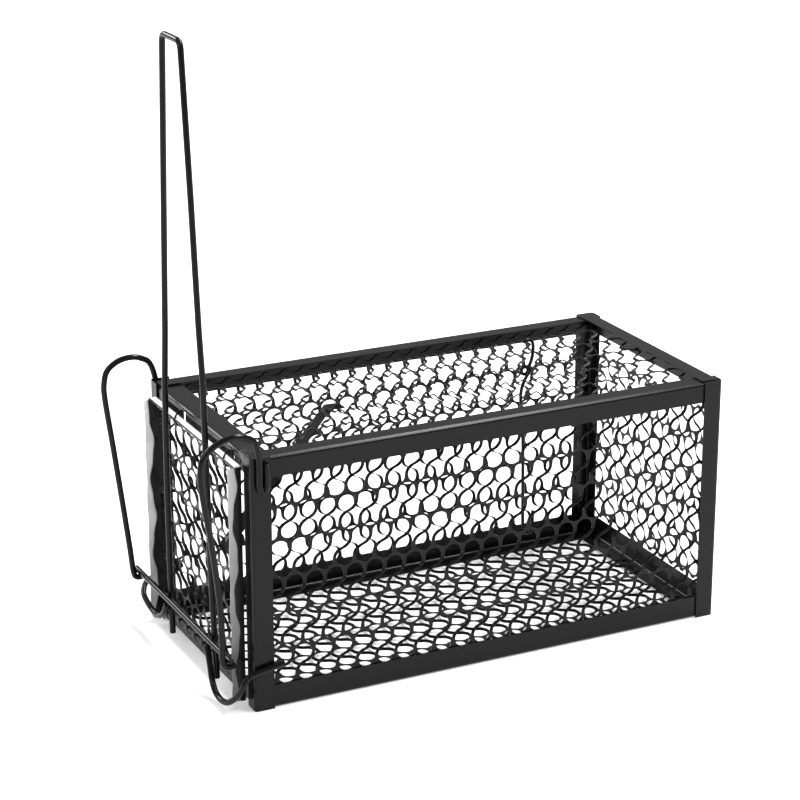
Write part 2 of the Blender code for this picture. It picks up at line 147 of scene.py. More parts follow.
# Wire
CROP_ROUNDING = 0.22
SPRING_HOOK_GAP = 0.00045
TRIGGER_RADIUS = 0.0009
TRIGGER_STEP = 0.0012
TRIGGER_COIL = 0.0023

# Lever: (sideways, up) from the near foot over the top to the far foot
LEVER_PATH = (
    (-0.0333, LEVER_FOOT),
    (-0.0290, 0.0590),
    (-0.0260, 0.1270),
    (-0.0252, 0.1550),
    (-0.0220, 0.1800),
    (-0.0163, 0.2430),
    (-0.0086, LEVER_TOP),
    (0.0142, LEVER_TOP),
    (0.0190, 0.2350),
    (0.0229, 0.1690),
    (0.0256, 0.1400),
    (0.0270, 0.0890),
    (0.0268, 0.0480),
    (0.0258, LEVER_FOOT),
)
LEVER_CORNER_RADIUS = 0.0040

# Finish
ENAMEL_SPECULAR = 0.17

# Camera and light
CAMERA_AZIMUTH = -26.29
CAMERA_ELEVATION = 19.19
CAMERA_LENS = 111.3
CAMERA_DISTANCE = 1.249
CAMERA_TARGET_X = -0.0205
CAMERA_TARGET_Z = 0.1218
WORLD_STRENGTH = 0.42
FLOOR_GLOW = 0.30
FLOOR_GLOW_FAR = 0.68
FLOOR_GLOW_REACH = (0.8, 2.6)
FLOOR_HALF = 12.0
FLOOR_GAP = 0.0002
LIGHTS = (
    ("overhead_strip", (0.72, 0.0, 1.5), (2.0, 0.30), 46.0),
    ("back_softbox", (-0.75, 1.9, 1.05), (0.9, 0.5), 16.0),
    ("left_softbox", (-1.5, -0.3, 1.1), (0.9, 0.9), 9.5),
)


# Materials


class Nodes:
    """A short way to write node trees."""

    def __init__(self, name):
        self.material = bpy.data.materials.new(name)
        self.material.use_nodes = True
        self.tree = self.material.node_tree
        self.shader = self.tree.nodes["Principled BSDF"]
        self.place = self.add("ShaderNodeTexCoord").outputs["Object"]

    def add(self, kind, inputs=None, **settings):
        node = self.tree.nodes.new(kind)
        for key, value in settings.items():
            setattr(node, key, value)
        for key, value in (inputs or {}).items():
            self.feed(node.inputs[key], value)
        return node

    def feed(self, socket, value):
        if isinstance(value, bpy.types.NodeSocket):
            self.tree.links.new(value, socket)
        else:
            socket.default_value = value

    def noise(self, scale, detail=3.0, rough=0.55, stretch=None):
        place = self.place
        if stretch:
            place = self.add("ShaderNodeMapping", {"Vector": place, "Scale": stretch}).outputs["Vector"]
        inputs = {"Vector": place, "Scale": scale, "Detail": detail, "Roughness": rough}
        return self.add("ShaderNodeTexNoise", inputs).outputs["Fac"]

    def ramp(self, value, low, high, to_low=0.0, to_high=1.0):
        inputs = {"Value": value, "From Min": low, "From Max": high, "To Min": to_low, "To Max": to_high}
        return self.add("ShaderNodeMapRange", inputs, clamp=True).outputs["Result"]

    def math(self, operation, first, second=0.0):
        node = self.add("ShaderNodeMath", operation=operation)
        self.feed(node.inputs[0], first)
        self.feed(node.inputs[1], second)
        return node.outputs[0]

    def mix(self, share, first, second):
        node = self.add("ShaderNodeMix", data_type="RGBA")
        self.feed(node.inputs["Factor"], share)
        self.feed(node.inputs["A"], first)
        self.feed(node.inputs["B"], second)
        return node.outputs["Result"]

    def bump(self, height, strength, distance, below=None):
        inputs = {"Height": height, "Strength": strength, "Distance": distance}
        if below:
            inputs["Normal"] = below
        return self.add("ShaderNodeBump", inputs).outputs["Normal"]

    def set(self, **values):
        for key, value in values.items():
            self.feed(self.shader.inputs[key.replace("_", " ")], value)


def grey(level, warm=0.0):
    return (level * (1 + warm), level, level * (1 - warm), 1.0)


def enamel(name, level=0.005, rough=0.24, specular=ENAMEL_SPECULAR, worn_end=False):
    """Stoved black enamel: glossy, slightly wavy and a little dusty, and chipped bare at one end if asked."""
    n = Nodes(name)
    patches = n.noise(22.0, 2.0, 0.4)
    dust = n.noise(1100.0, 2.0, 0.6)
    color = n.mix(n.ramp(patches, 0.30, 0.75), grey(level * 0.85), grey(level * 1.2))
    color = n.mix(n.math("MULTIPLY", n.ramp(dust, 0.66, 0.80), 0.07), color, grey(0.05, 0.03))
    roughness = n.ramp(patches, 0.25, 0.80, rough * 0.94, rough * 1.08)
    if worn_end:
        split = n.add("ShaderNodeSeparateXYZ", {"Vector": n.place}).outputs
        toward_end = n.ramp(split["Y"], -SIDE + 0.024, -SIDE + 0.009)
        front_only = n.ramp(split["X"], FRONT + 0.009, FRONT + 0.003)
        low = n.ramp(split["Z"], CAGE_TOP - 0.0012, CAGE_TOP - 0.0030)
        broken = n.ramp(n.noise(230.0, 4.0, 0.6), 0.40, 0.56)
        bare = n.math("MULTIPLY", n.math("MULTIPLY", toward_end, broken), n.math("MULTIPLY", front_only, low))
        tone = n.mix(n.noise(420.0), (0.16, 0.13, 0.13, 1.0), (0.36, 0.32, 0.315, 1.0))
        color = n.mix(bare, color, tone)
        roughness = n.math("ADD", roughness, n.math("MULTIPLY", bare, 0.25))
    wave = n.bump(n.noise(18.0, 1.0, 0.4), 0.35, 0.0005)
    skin = n.bump(n.noise(1500.0, 2.0, 0.5), 0.05, 0.0001, wave)
    n.set(Base_Color=color, Roughness=roughness, Normal=skin)
    n.shader.inputs["Specular IOR Level"].default_value = specular
    return n.material


def bare_sheet_painted_shading(name, at_floor, at_top):
    """Bare rolled sheet with a fine vertical grain; its light tone is partly painted light, and its duller, darker
    tone towards the floor is painted shade.
    """
    n = Nodes(name)
    grain = n.noise(60.0, 5.0, 0.6, stretch=(30.0, 30.0, 1.0))
    patches = n.noise(55.0, 4.0, 0.6)
    height = n.add("ShaderNodeSeparateXYZ", {"Vector": n.place}).outputs["Z"]
    # Painted shade: the colour darkens from the top of the cage down to the floor
    rise = n.ramp(height, 0.0, CAGE_TOP)
    color = n.mix(rise, grey(at_floor), grey(at_top))
    color = n.mix(n.ramp(patches, 0.45, 0.75, 0.0, 0.25), color, grey(at_floor * 1.1, 0.01))
    color = n.mix(n.ramp(grain, 0.35, 0.7, 0.0, 0.15), color, grey(at_floor * 1.4))
    n.set(Base_Color=color, Roughness=n.ramp(patches, 0.3, 0.7, 0.36, 0.52))
    n.set(Normal=n.bump(grain, 0.12, 0.0002, n.bump(n.noise(30.0, 1.0), 0.4, 0.0005)))
    n.shader.inputs["Metallic"].default_value = 0.35
    return n.material


ENAMEL = enamel("black_enamel_scene")
WORN_ENAMEL = enamel("black_enamel_worn_end", worn_end=True)
MESH_ENAMEL = enamel("black_mesh_scene", rough=0.28)
WIRE_ENAMEL = enamel("black_wire_scene", level=0.004, rough=0.20)
# The strap's darker copy of the enamel is painted shade against the overhead light that falls through the top mesh
STRAP_ENAMEL_PAINTED_SHADE = enamel("black_strap_painted_shade", level=0.003, rough=0.42, specular=0.07)
# Near flange and door top strip: bare sheet with painted shade towards the floor
NEAR_SHEET_PAINTED_SHADING = bare_sheet_painted_shading("sheet_painted_shading_near", 0.09, 0.58)
# Far flange: a lighter copy of the same sheet, painted light
FAR_SHEET_PAINTED_LIGHT = bare_sheet_painted_shading("sheet_painted_light_far", 0.40, 0.95)
# Lip shelf: bare sheet made near-white all over, a painted highlight
TOP_SHEET_PAINTED_HIGHLIGHT = bare_sheet_painted_shading("sheet_painted_highlight_top", 0.90, 0.90)


# Making pieces


def finish_piece(name, bm, look, body, replaced=(), smooth_angle=40.0):
    """Makes a bmesh into a named piece with its look, its body and the CAD nodes that it hides."""
    bmesh.ops.recalc_face_normals(bm, faces=bm.faces)
    mesh = bpy.data.meshes.new(name)
    bm.to_mesh(mesh)
    bm.free()
    mesh.shade_smooth()
    mesh.set_sharp_from_angle(angle=math.radians(smooth_angle))
    mesh.materials.append(look)
    piece = bpy.data.objects.new(name, mesh)
    bpy.context.collection.objects.link(piece)
    if isinstance(body, tuple):
        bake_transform(piece)
    else:
        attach(piece, body)
    if replaced:
        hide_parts(*replaced)
    return piece


def smooth_path(controls, step):
    """A Catmull-Rom curve through the controls, with points about one step apart."""
    knots = [Vector(c) for c in controls]
    ends = [2 * knots[0] - knots[1]] + knots + [2 * knots[-1] - knots[-2]]
    points = [knots[0]]
    for a, b, c, d in zip(ends, ends[1:], ends[2:], ends[3:]):
        count = max(2, math.ceil((c - b).length / step))
        for i in range(1, count + 1):
            t = i / count
            bent = 2 * b + (c - a) * t + (2 * a - 5 * b + 4 * c - d) * t**2 + (3 * b - a - 3 * c + d) * t**3
            points.append(bent / 2)
    return points


def side_path(controls, way, step):
    """A smooth curve on the near or far side, no further out than the plane of the springs."""
    points = smooth_path(controls, step)
    return [Vector((point.x, way * min(point.y, SPRING_SIDE), point.z)) for point in points]


def rounded_path(controls, radius, steps=8):
    """Straight runs between the controls, with each corner cut to a curve."""
    knots = [Vector(c) for c in controls]
    points = [knots[0]]
    for before, knot, after in zip(knots, knots[1:], knots[2:]):
        start = knot + (before - knot).normalized() * radius
        end = knot + (after - knot).normalized() * radius
        for i in range(steps + 1):
            t = i / steps
            points.append(start * (1 - t) ** 2 + knot * 2 * t * (1 - t) + end * t**2)
    return points + [knots[-1]]


def skin(bm, rings, sides, closed=False):
    """Faces between neighbouring rings of vertices, and a cap on each open end."""
    pairs = list(zip(rings, rings[1:]))
    if closed:
        pairs.append((rings[-1], rings[0]))
    for ring, following in pairs:
        for s in range(sides):
            e = (s + 1) % sides
            bm.faces.new((ring[s], ring[e], following[e], following[s]))
    if not closed:
        bm.faces.new(rings[0])
        bm.faces.new(rings[-1])


def wire(name, points, radius, body, replaced, sides=14, closed=False):
    """A round wire. Its open ends are cropped, with their rims worn round."""
    points = [Vector(p) for p in points]
    radii = [radius] * len(points)
    if not closed:
        first = (points[1] - points[0]).normalized() * radius * CROP_ROUNDING
        last = (points[-1] - points[-2]).normalized() * radius * CROP_ROUNDING
        points = [points[0], points[0] + first] + points[1:-1] + [points[-1] - last, points[-1]]
        radii = [radius * (1 - CROP_ROUNDING)] + [radius] * (len(points) - 2) + [radius * (1 - CROP_ROUNDING)]
    count = len(points)
    bm = bmesh.new()
    rings = []
    normal = None
    for i, point in enumerate(points):
        before = points[i - 1] if closed or i else points[i]
        after = points[(i + 1) % count] if closed or i < count - 1 else points[i]
        tangent = (after - before).normalized()
        if normal is None:
            normal = tangent.orthogonal()
        normal = (normal - tangent * normal.dot(tangent)).normalized()
        other = tangent.cross(normal)
        turns = [2 * math.pi * s / sides for s in range(sides)]
        ring = [point + (normal * math.cos(t) + other * math.sin(t)) * radii[i] for t in turns]
        rings.append([bm.verts.new(place) for place in ring])
    skin(bm, rings, sides, closed)
    return finish_piece(name, bm, WIRE_ENAMEL, body, replaced)


def prism(outline, along):
    """A closed prism from a flat outline."""
    bm = bmesh.new()
    face = bm.faces.new([bm.verts.new(point) for point in outline])
    grown = bmesh.ops.extrude_face_region(bm, geom=[face])["geom"]
    bmesh.ops.translate(bm, verts=[g for g in grown if isinstance(g, bmesh.types.BMVert)], vec=along)
    return bm


# The stretched mesh


def link_sections(lean, period):
    """The middle line of an S-shaped link from its upper island to its lower one, with its width and twist."""
    wide = lean / LINK_LEAN
    tall = period / PERIOD
    half = [(Vector((x * wide, y * tall, 0.0))) for x, y in LINK_HALF]
    controls = half + [-point for point in half[-2::-1]]
    points = smooth_path(controls, 1.0)
    count = len(points) - 1
    for i, point in enumerate(points[1:-1], 1):
        before = points[i - 1]
        after = points[i + 1]
        middle = 1 - abs(2 * i / count - 1)
        ease = middle * middle * (3 - 2 * middle)
        width = LINK_WIDTH + LINK_ROOT_EXTRA * (1 - middle) ** 6
        yield point, (after - before).normalized(), width, TWIST * ease


class StretchedMesh:
    """Slit and stretched sheet, in flat coordinates: a across, b up and c out of the panel's outer face."""

    def __init__(self, size, first_link, pitch=PITCH, period=PERIOD, lean=None, margin=0.0012, sag=0.0, seed=0.0):
        self.width, self.height = size
        self.pitch = pitch
        self.period = period
        self.margin = margin
        self.sag = sag
        self.seed = seed
        self.bm = bmesh.new()
        self.corners = {}
        self.open_sides = set()
        lean = lean or LINK_LEAN * pitch / PITCH
        shift = pitch / 2 - lean
        top_rows = math.ceil((self.height - first_link[1]) / period) + 1
        self.first_a = first_link[0] - top_rows * shift - lean / 2
        self.first_b = first_link[1] + top_rows * period - period / 2
        self.shift = shift
        self.rows = math.ceil(self.height / period) + 3
        reach = abs(shift) * self.rows + self.width + abs(self.first_a)
        self.columns = range(-math.ceil(reach / pitch) - 2, math.ceil(reach / pitch) + 3)
        self.sections = list(link_sections(lean, period))
        self.build()

    def island(self, row, column, lower):
        a = self.first_a + row * self.shift + column * self.pitch + (self.pitch / 2 if lower else 0.0)
        b = self.first_b - row * self.period + (-ISLAND_RISE if lower else ISLAND_RISE)
        return a, b

    def inside(self, place):
        a, b = place
        across = self.margin < a < self.width - self.margin
        return across and self.margin < b < self.height - self.margin

    def warp(self, a, b, c):
        """Small unevenness in the sheet, and the sag of a panel that is held only at its edges."""
        spot = Vector((a * DENT_SCALE + self.seed, b * DENT_SCALE, self.seed))
        push = noise.noise_vector(spot)
        along = max(0.0, 4 * a * (self.width - a) / self.width**2)
        belly = max(0.0, 4 * b * (self.height - b) / self.height**2)
        c_shift = push.z * DENT_OUT * min(1.0, belly * 1.5) - self.sag * along * belly**0.7
        return Vector((a + push.x * DENT_ALONG, b + push.y * DENT_ALONG, c + c_shift))

    def pair(self, a, b):
        """The two vertices of a place, on the outer and inner face."""
        return tuple(self.bm.verts.new(self.warp(a, b, c)) for c in (STRAND_THICK / 2, -STRAND_THICK / 2))

    def corner(self, row, column, lower, which):
        key = (row, column, lower, which)
        if key not in self.corners:
            a, b = self.island(row, column, lower)
            da, db = ISLAND_CORNERS[which]
            flip = 1 if lower else -1
            self.corners[key] = self.pair(a + da, b + db * flip)
        return self.corners[key]

    def segment(self, start, end):
        """Four faces between two cross-sections, each of two (outer, inner) pairs."""
        (p, q), (r, s) = start, end
        quads = (
            (p[0], q[0], s[0], r[0]),
            (p[1], r[1], s[1], q[1]),
            (p[0], r[0], r[1], p[1]),
            (q[0], q[1], s[1], s[0]),
        )
        for quad in quads:
            self.bm.faces.new(quad)

    def side(self, row, column, lower, side):
        """The cross-section at an island's side, as its two corners' pairs."""
        first, second = ISLAND_SIDES[side]
        return self.corner(row, column, lower, first), self.corner(row, column, lower, second)

    def rib(self, left, right, left_lower):
        """A short strand of a zigzag row, waisted in its middle."""
        start = self.side(*left, left_lower, "right")
        end = self.side(*right, not left_lower, "left")
        edges = tuple(zip(start, end))
        self.open_sides.discard((*left, left_lower, "right"))
        self.open_sides.discard((*right, not left_lower, "left"))
        (a_left, b_left) = self.island(*left, left_lower)
        (a_right, b_right) = self.island(*right, not left_lower)
        run = Vector((a_right - a_left, b_right - b_left, 0)).normalized()
        over = Vector((-run.y, run.x, 0))
        middle = Vector(((a_left + a_right) / 2, (b_left + b_right) / 2, 0))

        def flat(pair):
            return (pair[0].co + pair[1].co) / 2

        previous = (edges[0][0], edges[1][0])
        steps = 4
        for step in range(1, steps + 1):
            if step == steps:
                current = (edges[0][1], edges[1][1])
            else:
                t = step / steps
                current = []
                for begin, finish in edges:
                    chord = flat(begin).lerp(flat(finish), t)
                    chord_middle = (flat(begin) + flat(finish)) / 2
                    way = 1 if (chord_middle - middle).dot(over) > 0 else -1
                    waist = middle + over * way * RIB_WIDTH / 2
                    spot = chord + (waist - chord_middle) * 4 * t * (1 - t)
                    half = STRAND_THICK / 2
                    current.append(tuple(self.bm.verts.new(spot + Vector((0, 0, c))) for c in (half, -half)))
                current = tuple(current)
            self.segment(previous, current)
            previous = current

    def link(self, row, column):
        """An S-shaped, twisted strand from the lower island of one row to the upper island of the next."""
        upper = self.side(row - 1, column, True, "leg")
        lower = self.side(row, column, False, "leg")
        self.open_sides.discard((row - 1, column, True, "leg"))
        self.open_sides.discard((row, column, False, "leg"))
        a_1, b_1 = self.island(row - 1, column, True)
        a_2, b_2 = self.island(row, column, False)
        middle = Vector(((a_1 + a_2) / 2, (b_1 + b_2) / 2, 0))
        out = Vector((0, 0, 1))
        previous = (upper[1], upper[0])
        for point, run, width, twist in self.sections:
            over = Vector((-run.y, run.x, 0))
            wide = (over * math.cos(twist) + out * math.sin(twist)) * width / 2
            deep = (out * math.cos(twist) - over * math.sin(twist)) * STRAND_THICK / 2
            center = middle + point
            current = []
            for way in (1, -1):
                spots = (center + wide * way + deep, center + wide * way - deep)
                current.append(tuple(self.bm.verts.new(self.warp(*spot)) for spot in spots))
            self.segment(previous, tuple(current))
            previous = tuple(current)
        self.segment(previous, (lower[1], lower[0]))

    def build(self):
        kept = set()
        for row in range(self.rows):
            for column in self.columns:
                for lower in (True, False):
                    if self.inside(self.island(row, column, lower)):
                        kept.add((row, column, lower))
        for row, column, lower in sorted(kept):
            for face in (0, 1):
                self.bm.faces.new([self.corner(row, column, lower, which)[face] for which in ISLAND_CORNERS])
            self.open_sides |= {(row, column, lower, side) for side in ISLAND_SIDES}
        for row, column, lower in sorted(kept):
            following = (row, column) if not lower else (row, column + 1)
            if (*following, not lower) in kept:
                self.rib((row, column), following, lower)
            if lower and (row + 1, column, False) in kept:
                self.link(row + 1, column)
        for key in sorted(self.open_sides):
            first, second = self.side(*key)
            self.bm.faces.new((first[0], second[0], second[1], first[1]))

    def place(self, name, corner, across, up, body, replaced, mirror=False):
        """Moves the flat panel to its place, turned over if asked. Its outer face looks along across x up."""
        out = across.cross(up)
        for vert in self.bm.verts:
            a, b, c = vert.co
            if mirror:
                a = self.width - a
            vert.co = corner + across * a + up * b + out * (c - STRAND_THICK / 2)
        return finish_piece(name, self.bm, MESH_ENAMEL, body, (replaced,), 50.0)


def build_panels():
    for side_name, way, first_link in (("near", -1, NEAR_LINK), ("far", 1, FAR_LINK)):
        node = f"{side_name}_side_mesh"
        low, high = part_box(node)
        size = (high[0] - low[0], high[2] - low[2])
        outer = low[1] if way < 0 else high[1]
        across = X * -way
        start = low[0] if way < 0 else high[0]
        link = (first_link[0] + (FRONT - start if way < 0 else start - REAR), first_link[1] - low[2])
        sheet = StretchedMesh(size, link, seed=way * 3.0)
        sheet.place(f"{side_name}_side_stretched_mesh", Vector((start, outer, low[2])), across, Z, "cage", node)
    low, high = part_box("top_mesh")
    link = (TOP_LINK[0] + FRONT - low[0], TOP_LINK[1] - SIDE - low[1])
    sheet = StretchedMesh((high[0] - low[0], high[1] - low[1]), link, TOP_PITCH, TOP_PERIOD, sag=TOP_SAG, seed=9.0)
    sheet.place("top_stretched_mesh", Vector((low[0], low[1], high[2])), X, Y, "cage", "top_mesh")
    low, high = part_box("floor_mesh")
    link = (FLOOR_LINK[0] + high[0] - REAR, FLOOR_LINK[1] - SIDE - low[1])
    sheet = StretchedMesh((high[0] - low[0], high[1] - low[1]), link, seed=14.0)
    sheet.place("floor_stretched_mesh", Vector((high[0], low[1], low[2])), -X, Y, "cage", "floor_mesh")
    low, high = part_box("rear_mesh")
    sheet = StretchedMesh((high[1] - low[1], high[2] - low[2]), REAR_LINK, seed=21.0)
    sheet.place("rear_stretched_mesh", Vector((high[0], low[1], low[2])), Y, Z, "cage", "rear_mesh")
    low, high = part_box("door_mesh")
    size = (high[1] - low[1], high[2] - low[2])
    link = (size[0] - DOOR_LINK[0], DOOR_LINK[1] - low[2])
    sheet = StretchedMesh(size, link, lean=DOOR_LEAN, margin=0.0008, seed=33.0)
    corner = Vector((low[0], high[1], low[2]))
    sheet.place("door_stretched_mesh", corner, -Y, Z, "door", "door_mesh", mirror=True)


def build_door():
    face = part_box("near_door_flange")[1][0]
    for side_name, way in NEAR_AND_FAR:
        node = f"{side_name}_door_flange"
        low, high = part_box(node)
        outline = [
            Vector((high[0], low[1], low[2])),
            Vector((high[0], low[1], high[2])),
            Vector((low[0], low[1], high[2])),
        ]
        steps = 16
        for i in range(1, steps):
            z = high[2] + (low[2] - high[2] + FLANGE_CHAMFER) * i / steps
            wave = FLANGE_WAVE * (1 + math.sin(z * 240 + way)) * min(1.0, (high[2] - z) / 0.01)
            outline.append(Vector((low[0] + wave, low[1], z)))
        outline.append(Vector((low[0], low[1], low[2] + FLANGE_CHAMFER)))
        outline.append(Vector((low[0] + FLANGE_CHAMFER * 0.5, low[1], low[2])))
        bm = prism(outline, Y * (high[1] - low[1]))
        # The far flange gets the lighter copy of the sheet: painted light
        look = NEAR_SHEET_PAINTED_SHADING if side_name == "near" else FAR_SHEET_PAINTED_LIGHT
        finish_piece(f"{side_name}_door_flange_sheet", bm, look, "door", (node,))
        thick = high[1] - low[1]
        outer = high[1] if way > 0 else low[1]
        inner = low[1] if way > 0 else high[1]
        span = (low[2], high[2])
        hem_node = f"{side_name}_door_hem"
        build_hem(f"{side_name}_outer_hem", face, outer + way * HEM_GAP, way * thick, span, way, (hem_node,))
        build_hem(f"{side_name}_inner_hem", face, inner - way * HEM_GAP, -way * thick, span, way, ())
    build_lip()


def build_lip():
    """The door's bright top edge: a narrow shelf with a dark rim, and the strip that hangs from it."""
    low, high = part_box("door_top_lip")
    notches = []
    for side_name, _ in NEAR_AND_FAR:
        ring_low, ring_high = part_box(f"{side_name}_hinge_ring")
        middle = (ring_low[1] + ring_high[1]) / 2
        notches.append((middle - LIP_NOTCH_HALF, middle + LIP_NOTCH_HALF))
    back = high[0]
    rim = low[0] + LIP_RIM
    deep = low[0] + LIP_NOTCH_DEPTH
    outline = [Vector((back, low[1], low[2])), Vector((back, high[1], low[2])), Vector((rim, high[1], low[2]))]
    for start, end in sorted(notches)[::-1]:
        for x, y in ((rim, end), (deep, end), (deep, start), (rim, start)):
            outline.append(Vector((x, y, low[2])))
    outline.append(Vector((rim, low[1], low[2])))
    shelf = prism(outline, Z * (high[2] - low[2]))
    # The shelf's near-white tone is a painted highlight on the bare sheet
    finish_piece("door_lip_shelf", shelf, TOP_SHEET_PAINTED_HIGHLIGHT, "door", ("door_top_lip",))
    edge = rim - LIP_RIM_GAP
    flat = [(low[0], low[1]), (low[0], high[1]), (edge, high[1]), (edge, low[1])]
    bm = prism([Vector((x, y, low[2])) for x, y in flat], Z * (high[2] - low[2]))
    finish_piece("door_lip_rim", bm, ENAMEL, "door")
    x = back - TOP_STRIP_GAP
    top_half = DOOR_HALF - TOP_STRIP_INSET
    foot_half = top_half - TOP_STRIP_TAPER
    strip = [
        Vector((x, -top_half, low[2] - TOP_STRIP_GAP)),
        Vector((x, top_half, low[2] - TOP_STRIP_GAP)),
        Vector((x, foot_half, low[2] - TOP_STRIP_HEIGHT)),
        Vector((x, -foot_half, low[2] - TOP_STRIP_HEIGHT)),
    ]
    finish_piece("door_top_strip", prism(strip, X * -TOP_STRIP_THICK), NEAR_SHEET_PAINTED_SHADING, "door")


def build_hem(name, face, start_y, thick, span, way, replaced):
    """The mesh's edge folded round the flange, with the wavy edge of a row of cut openings."""
    low, high = span
    outline = [Vector((face, start_y, high)), Vector((face, start_y, low))]
    steps = 60
    for i in range(steps + 1):
        z = low + (high - low) * i / steps
        turn = 2 * math.pi * (z - HEM_PHASE[way]) / HEM_WAVE_LENGTH
        depth = HEM_DEPTH + HEM_WAVE * math.cos(turn) + 0.0003 * math.sin(2.7 * turn + way)
        outline.append(Vector((face - depth, start_y, z)))
    bm = prism(outline, Y * thick)
    finish_piece(name, bm, MESH_ENAMEL, "door", replaced, 30.0)


def build_wires():
    ends = [(BAR_X, BAR_LOW[1], BAR_Z), (BAR_X, BAR_HIGH[1], BAR_Z)]
    bar = [Vector(ends[0]).lerp(Vector(ends[1]), i / 12) for i in range(13)]
    wire("cross_bar_wire", bar, WIRE_RADIUS, "door", ("cross_bar",))

    outline = [(LEVER_X, y, z) for y, z in LEVER_PATH]
    wire("lever_wire", rounded_path(outline, LEVER_CORNER_RADIUS), WIRE_RADIUS, "door", ("lever",), sides=20)

    near_loop = [
        (BAR_X, 0.0296, 0.0232),
        (BAR_X - 0.0003, 0.0332, 0.0160),
        (BAR_X - 0.0010, 0.0388, 0.0064),
        (BAR_X - 0.0014, 0.0464, 0.0028),
        (BAR_X - 0.0010, 0.0556, 0.0036),
        (BAR_X + 0.0010, 0.0622, 0.0082),
        (FRONT - 0.0066, SPRING_SIDE, 0.0156),
        (FRONT - 0.0044, SPRING_SIDE, 0.0196),
        (FRONT - 0.0008, SPRING_SIDE, 0.0212),
        (FRONT + 0.0054, SPRING_SIDE, 0.0222),
        (FRONT + 0.0148, SPRING_SIDE, 0.0240),
    ]
    far_loop = [
        (BAR_X, 0.0242, 0.0232),
        (BAR_X, 0.0280, 0.0174),
        (BAR_X, 0.0345, 0.0128),
        (BAR_X, 0.0420, 0.0115),
        (BAR_X, 0.0520, 0.0130),
        (BAR_X + 0.0010, 0.0605, 0.0152),
        (FRONT - 0.0055, SPRING_SIDE - 0.0003, 0.0180),
        (FRONT - 0.0015, SPRING_SIDE, 0.0202),
        (FRONT + 0.0050, SPRING_SIDE, 0.0220),
        (FRONT + 0.0152, SPRING_SIDE, 0.0241),
    ]
    for side_name, way, controls in (("near", -1, near_loop), ("far", 1, far_loop)):
        path = side_path(controls, way, 0.0016)
        wire(f"{side_name}_catch_wire", path, WIRE_RADIUS, "door", (f"{side_name}_catch_loop",))

    for side_name, way in NEAR_AND_FAR:
        low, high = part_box(f"{side_name}_hinge_ring")
        middle = (Vector(low) + Vector(high)) / 2
        thick = (high[1] - low[1]) / 2
        radius = (high[0] - low[0]) / 2 - thick
        turns = [2 * math.pi * i / 40 for i in range(40)]
        ring = [middle + (X * math.cos(t) + Z * math.sin(t)) * radius for t in turns]
        wire(f"{side_name}_ring_wire", ring, thick, "door", (f"{side_name}_hinge_ring",), closed=True)


def build_springs():
    """Each spring, from a hairpin by its post at the top to a hook round the cross bar at the bottom."""
    hook = WIRE_RADIUS * 2 + SPRING_HOOK_GAP
    hairpin = [
        (FRONT + 0.0074, SPRING_SIDE, 0.1270),
        (FRONT + 0.0074, SPRING_SIDE, 0.1165),
        (FRONT + 0.0056, SPRING_SIDE, 0.1128),
        (FRONT + 0.0038, SPRING_SIDE, 0.1165),
        (FRONT + 0.0038, SPRING_SIDE, 0.1275),
    ]
    near = [
        (FRONT + 0.0020, SPRING_SIDE, 0.1376),
        (FRONT - 0.0025, SPRING_SIDE, 0.1413),
        (FRONT - 0.0090, SPRING_SIDE, 0.1426),
        (FRONT - 0.0156, SPRING_SIDE, 0.1410),
        (FRONT - 0.0212, SPRING_SIDE, 0.1378),
        (FRONT - 0.0248, SPRING_SIDE, 0.1325),
        (FRONT - 0.0256, SPRING_SIDE, 0.1240),
        (FRONT - 0.0238, SPRING_SIDE, 0.1090),
        (FRONT - 0.0208, SPRING_SIDE - 0.0016, 0.0930),
        (FRONT - 0.0156, SPRING_SIDE - 0.0056, 0.0600),
        (FRONT - 0.0140, SPRING_SIDE - 0.0078, 0.0410),
    ]
    far = [
        (FRONT + 0.0010, SPRING_SIDE, 0.1373),
        (FRONT - 0.0037, SPRING_SIDE, 0.1408),
        (FRONT - 0.0090, SPRING_SIDE, 0.1421),
        (FRONT - 0.0160, SPRING_SIDE, 0.1410),
        (FRONT - 0.0220, SPRING_SIDE, 0.1367),
        (FRONT - 0.0240, SPRING_SIDE, 0.1295),
        (FRONT - 0.0237, SPRING_SIDE, 0.1210),
        (FRONT - 0.0210, SPRING_SIDE - 0.0004, 0.0990),
        (FRONT - 0.0172, SPRING_SIDE - 0.0014, 0.0660),
        (FRONT - 0.0146, SPRING_SIDE - 0.0030, 0.0400),
    ]
    bend_start = Vector((FRONT - 0.010, 0.0, 0.125))
    bend_end = bend_start + Vector((-0.5, 0.0, -0.866)) * 0.080
    for side_name, way, bow, hook_side in (("near", -1, near, 0.0580), ("far", 1, far, 0.0633)):
        bottom = [
            (BAR_X - hook * 0.9, hook_side, BAR_Z + 0.0002),
            (BAR_X - hook * 0.5, hook_side, BAR_Z - hook * 0.87),
            (BAR_X + hook * 0.2, hook_side, BAR_Z - hook),
            (BAR_X + hook * 0.9, hook_side, BAR_Z - hook * 0.8),
        ]
        path = side_path(hairpin + bow + bottom, way, 0.0018)
        body = ("cage", "door", bend_start, bend_end)
        wire(f"{side_name}_spring_wire", path, WIRE_RADIUS, body, (f"{side_name}_spring",))


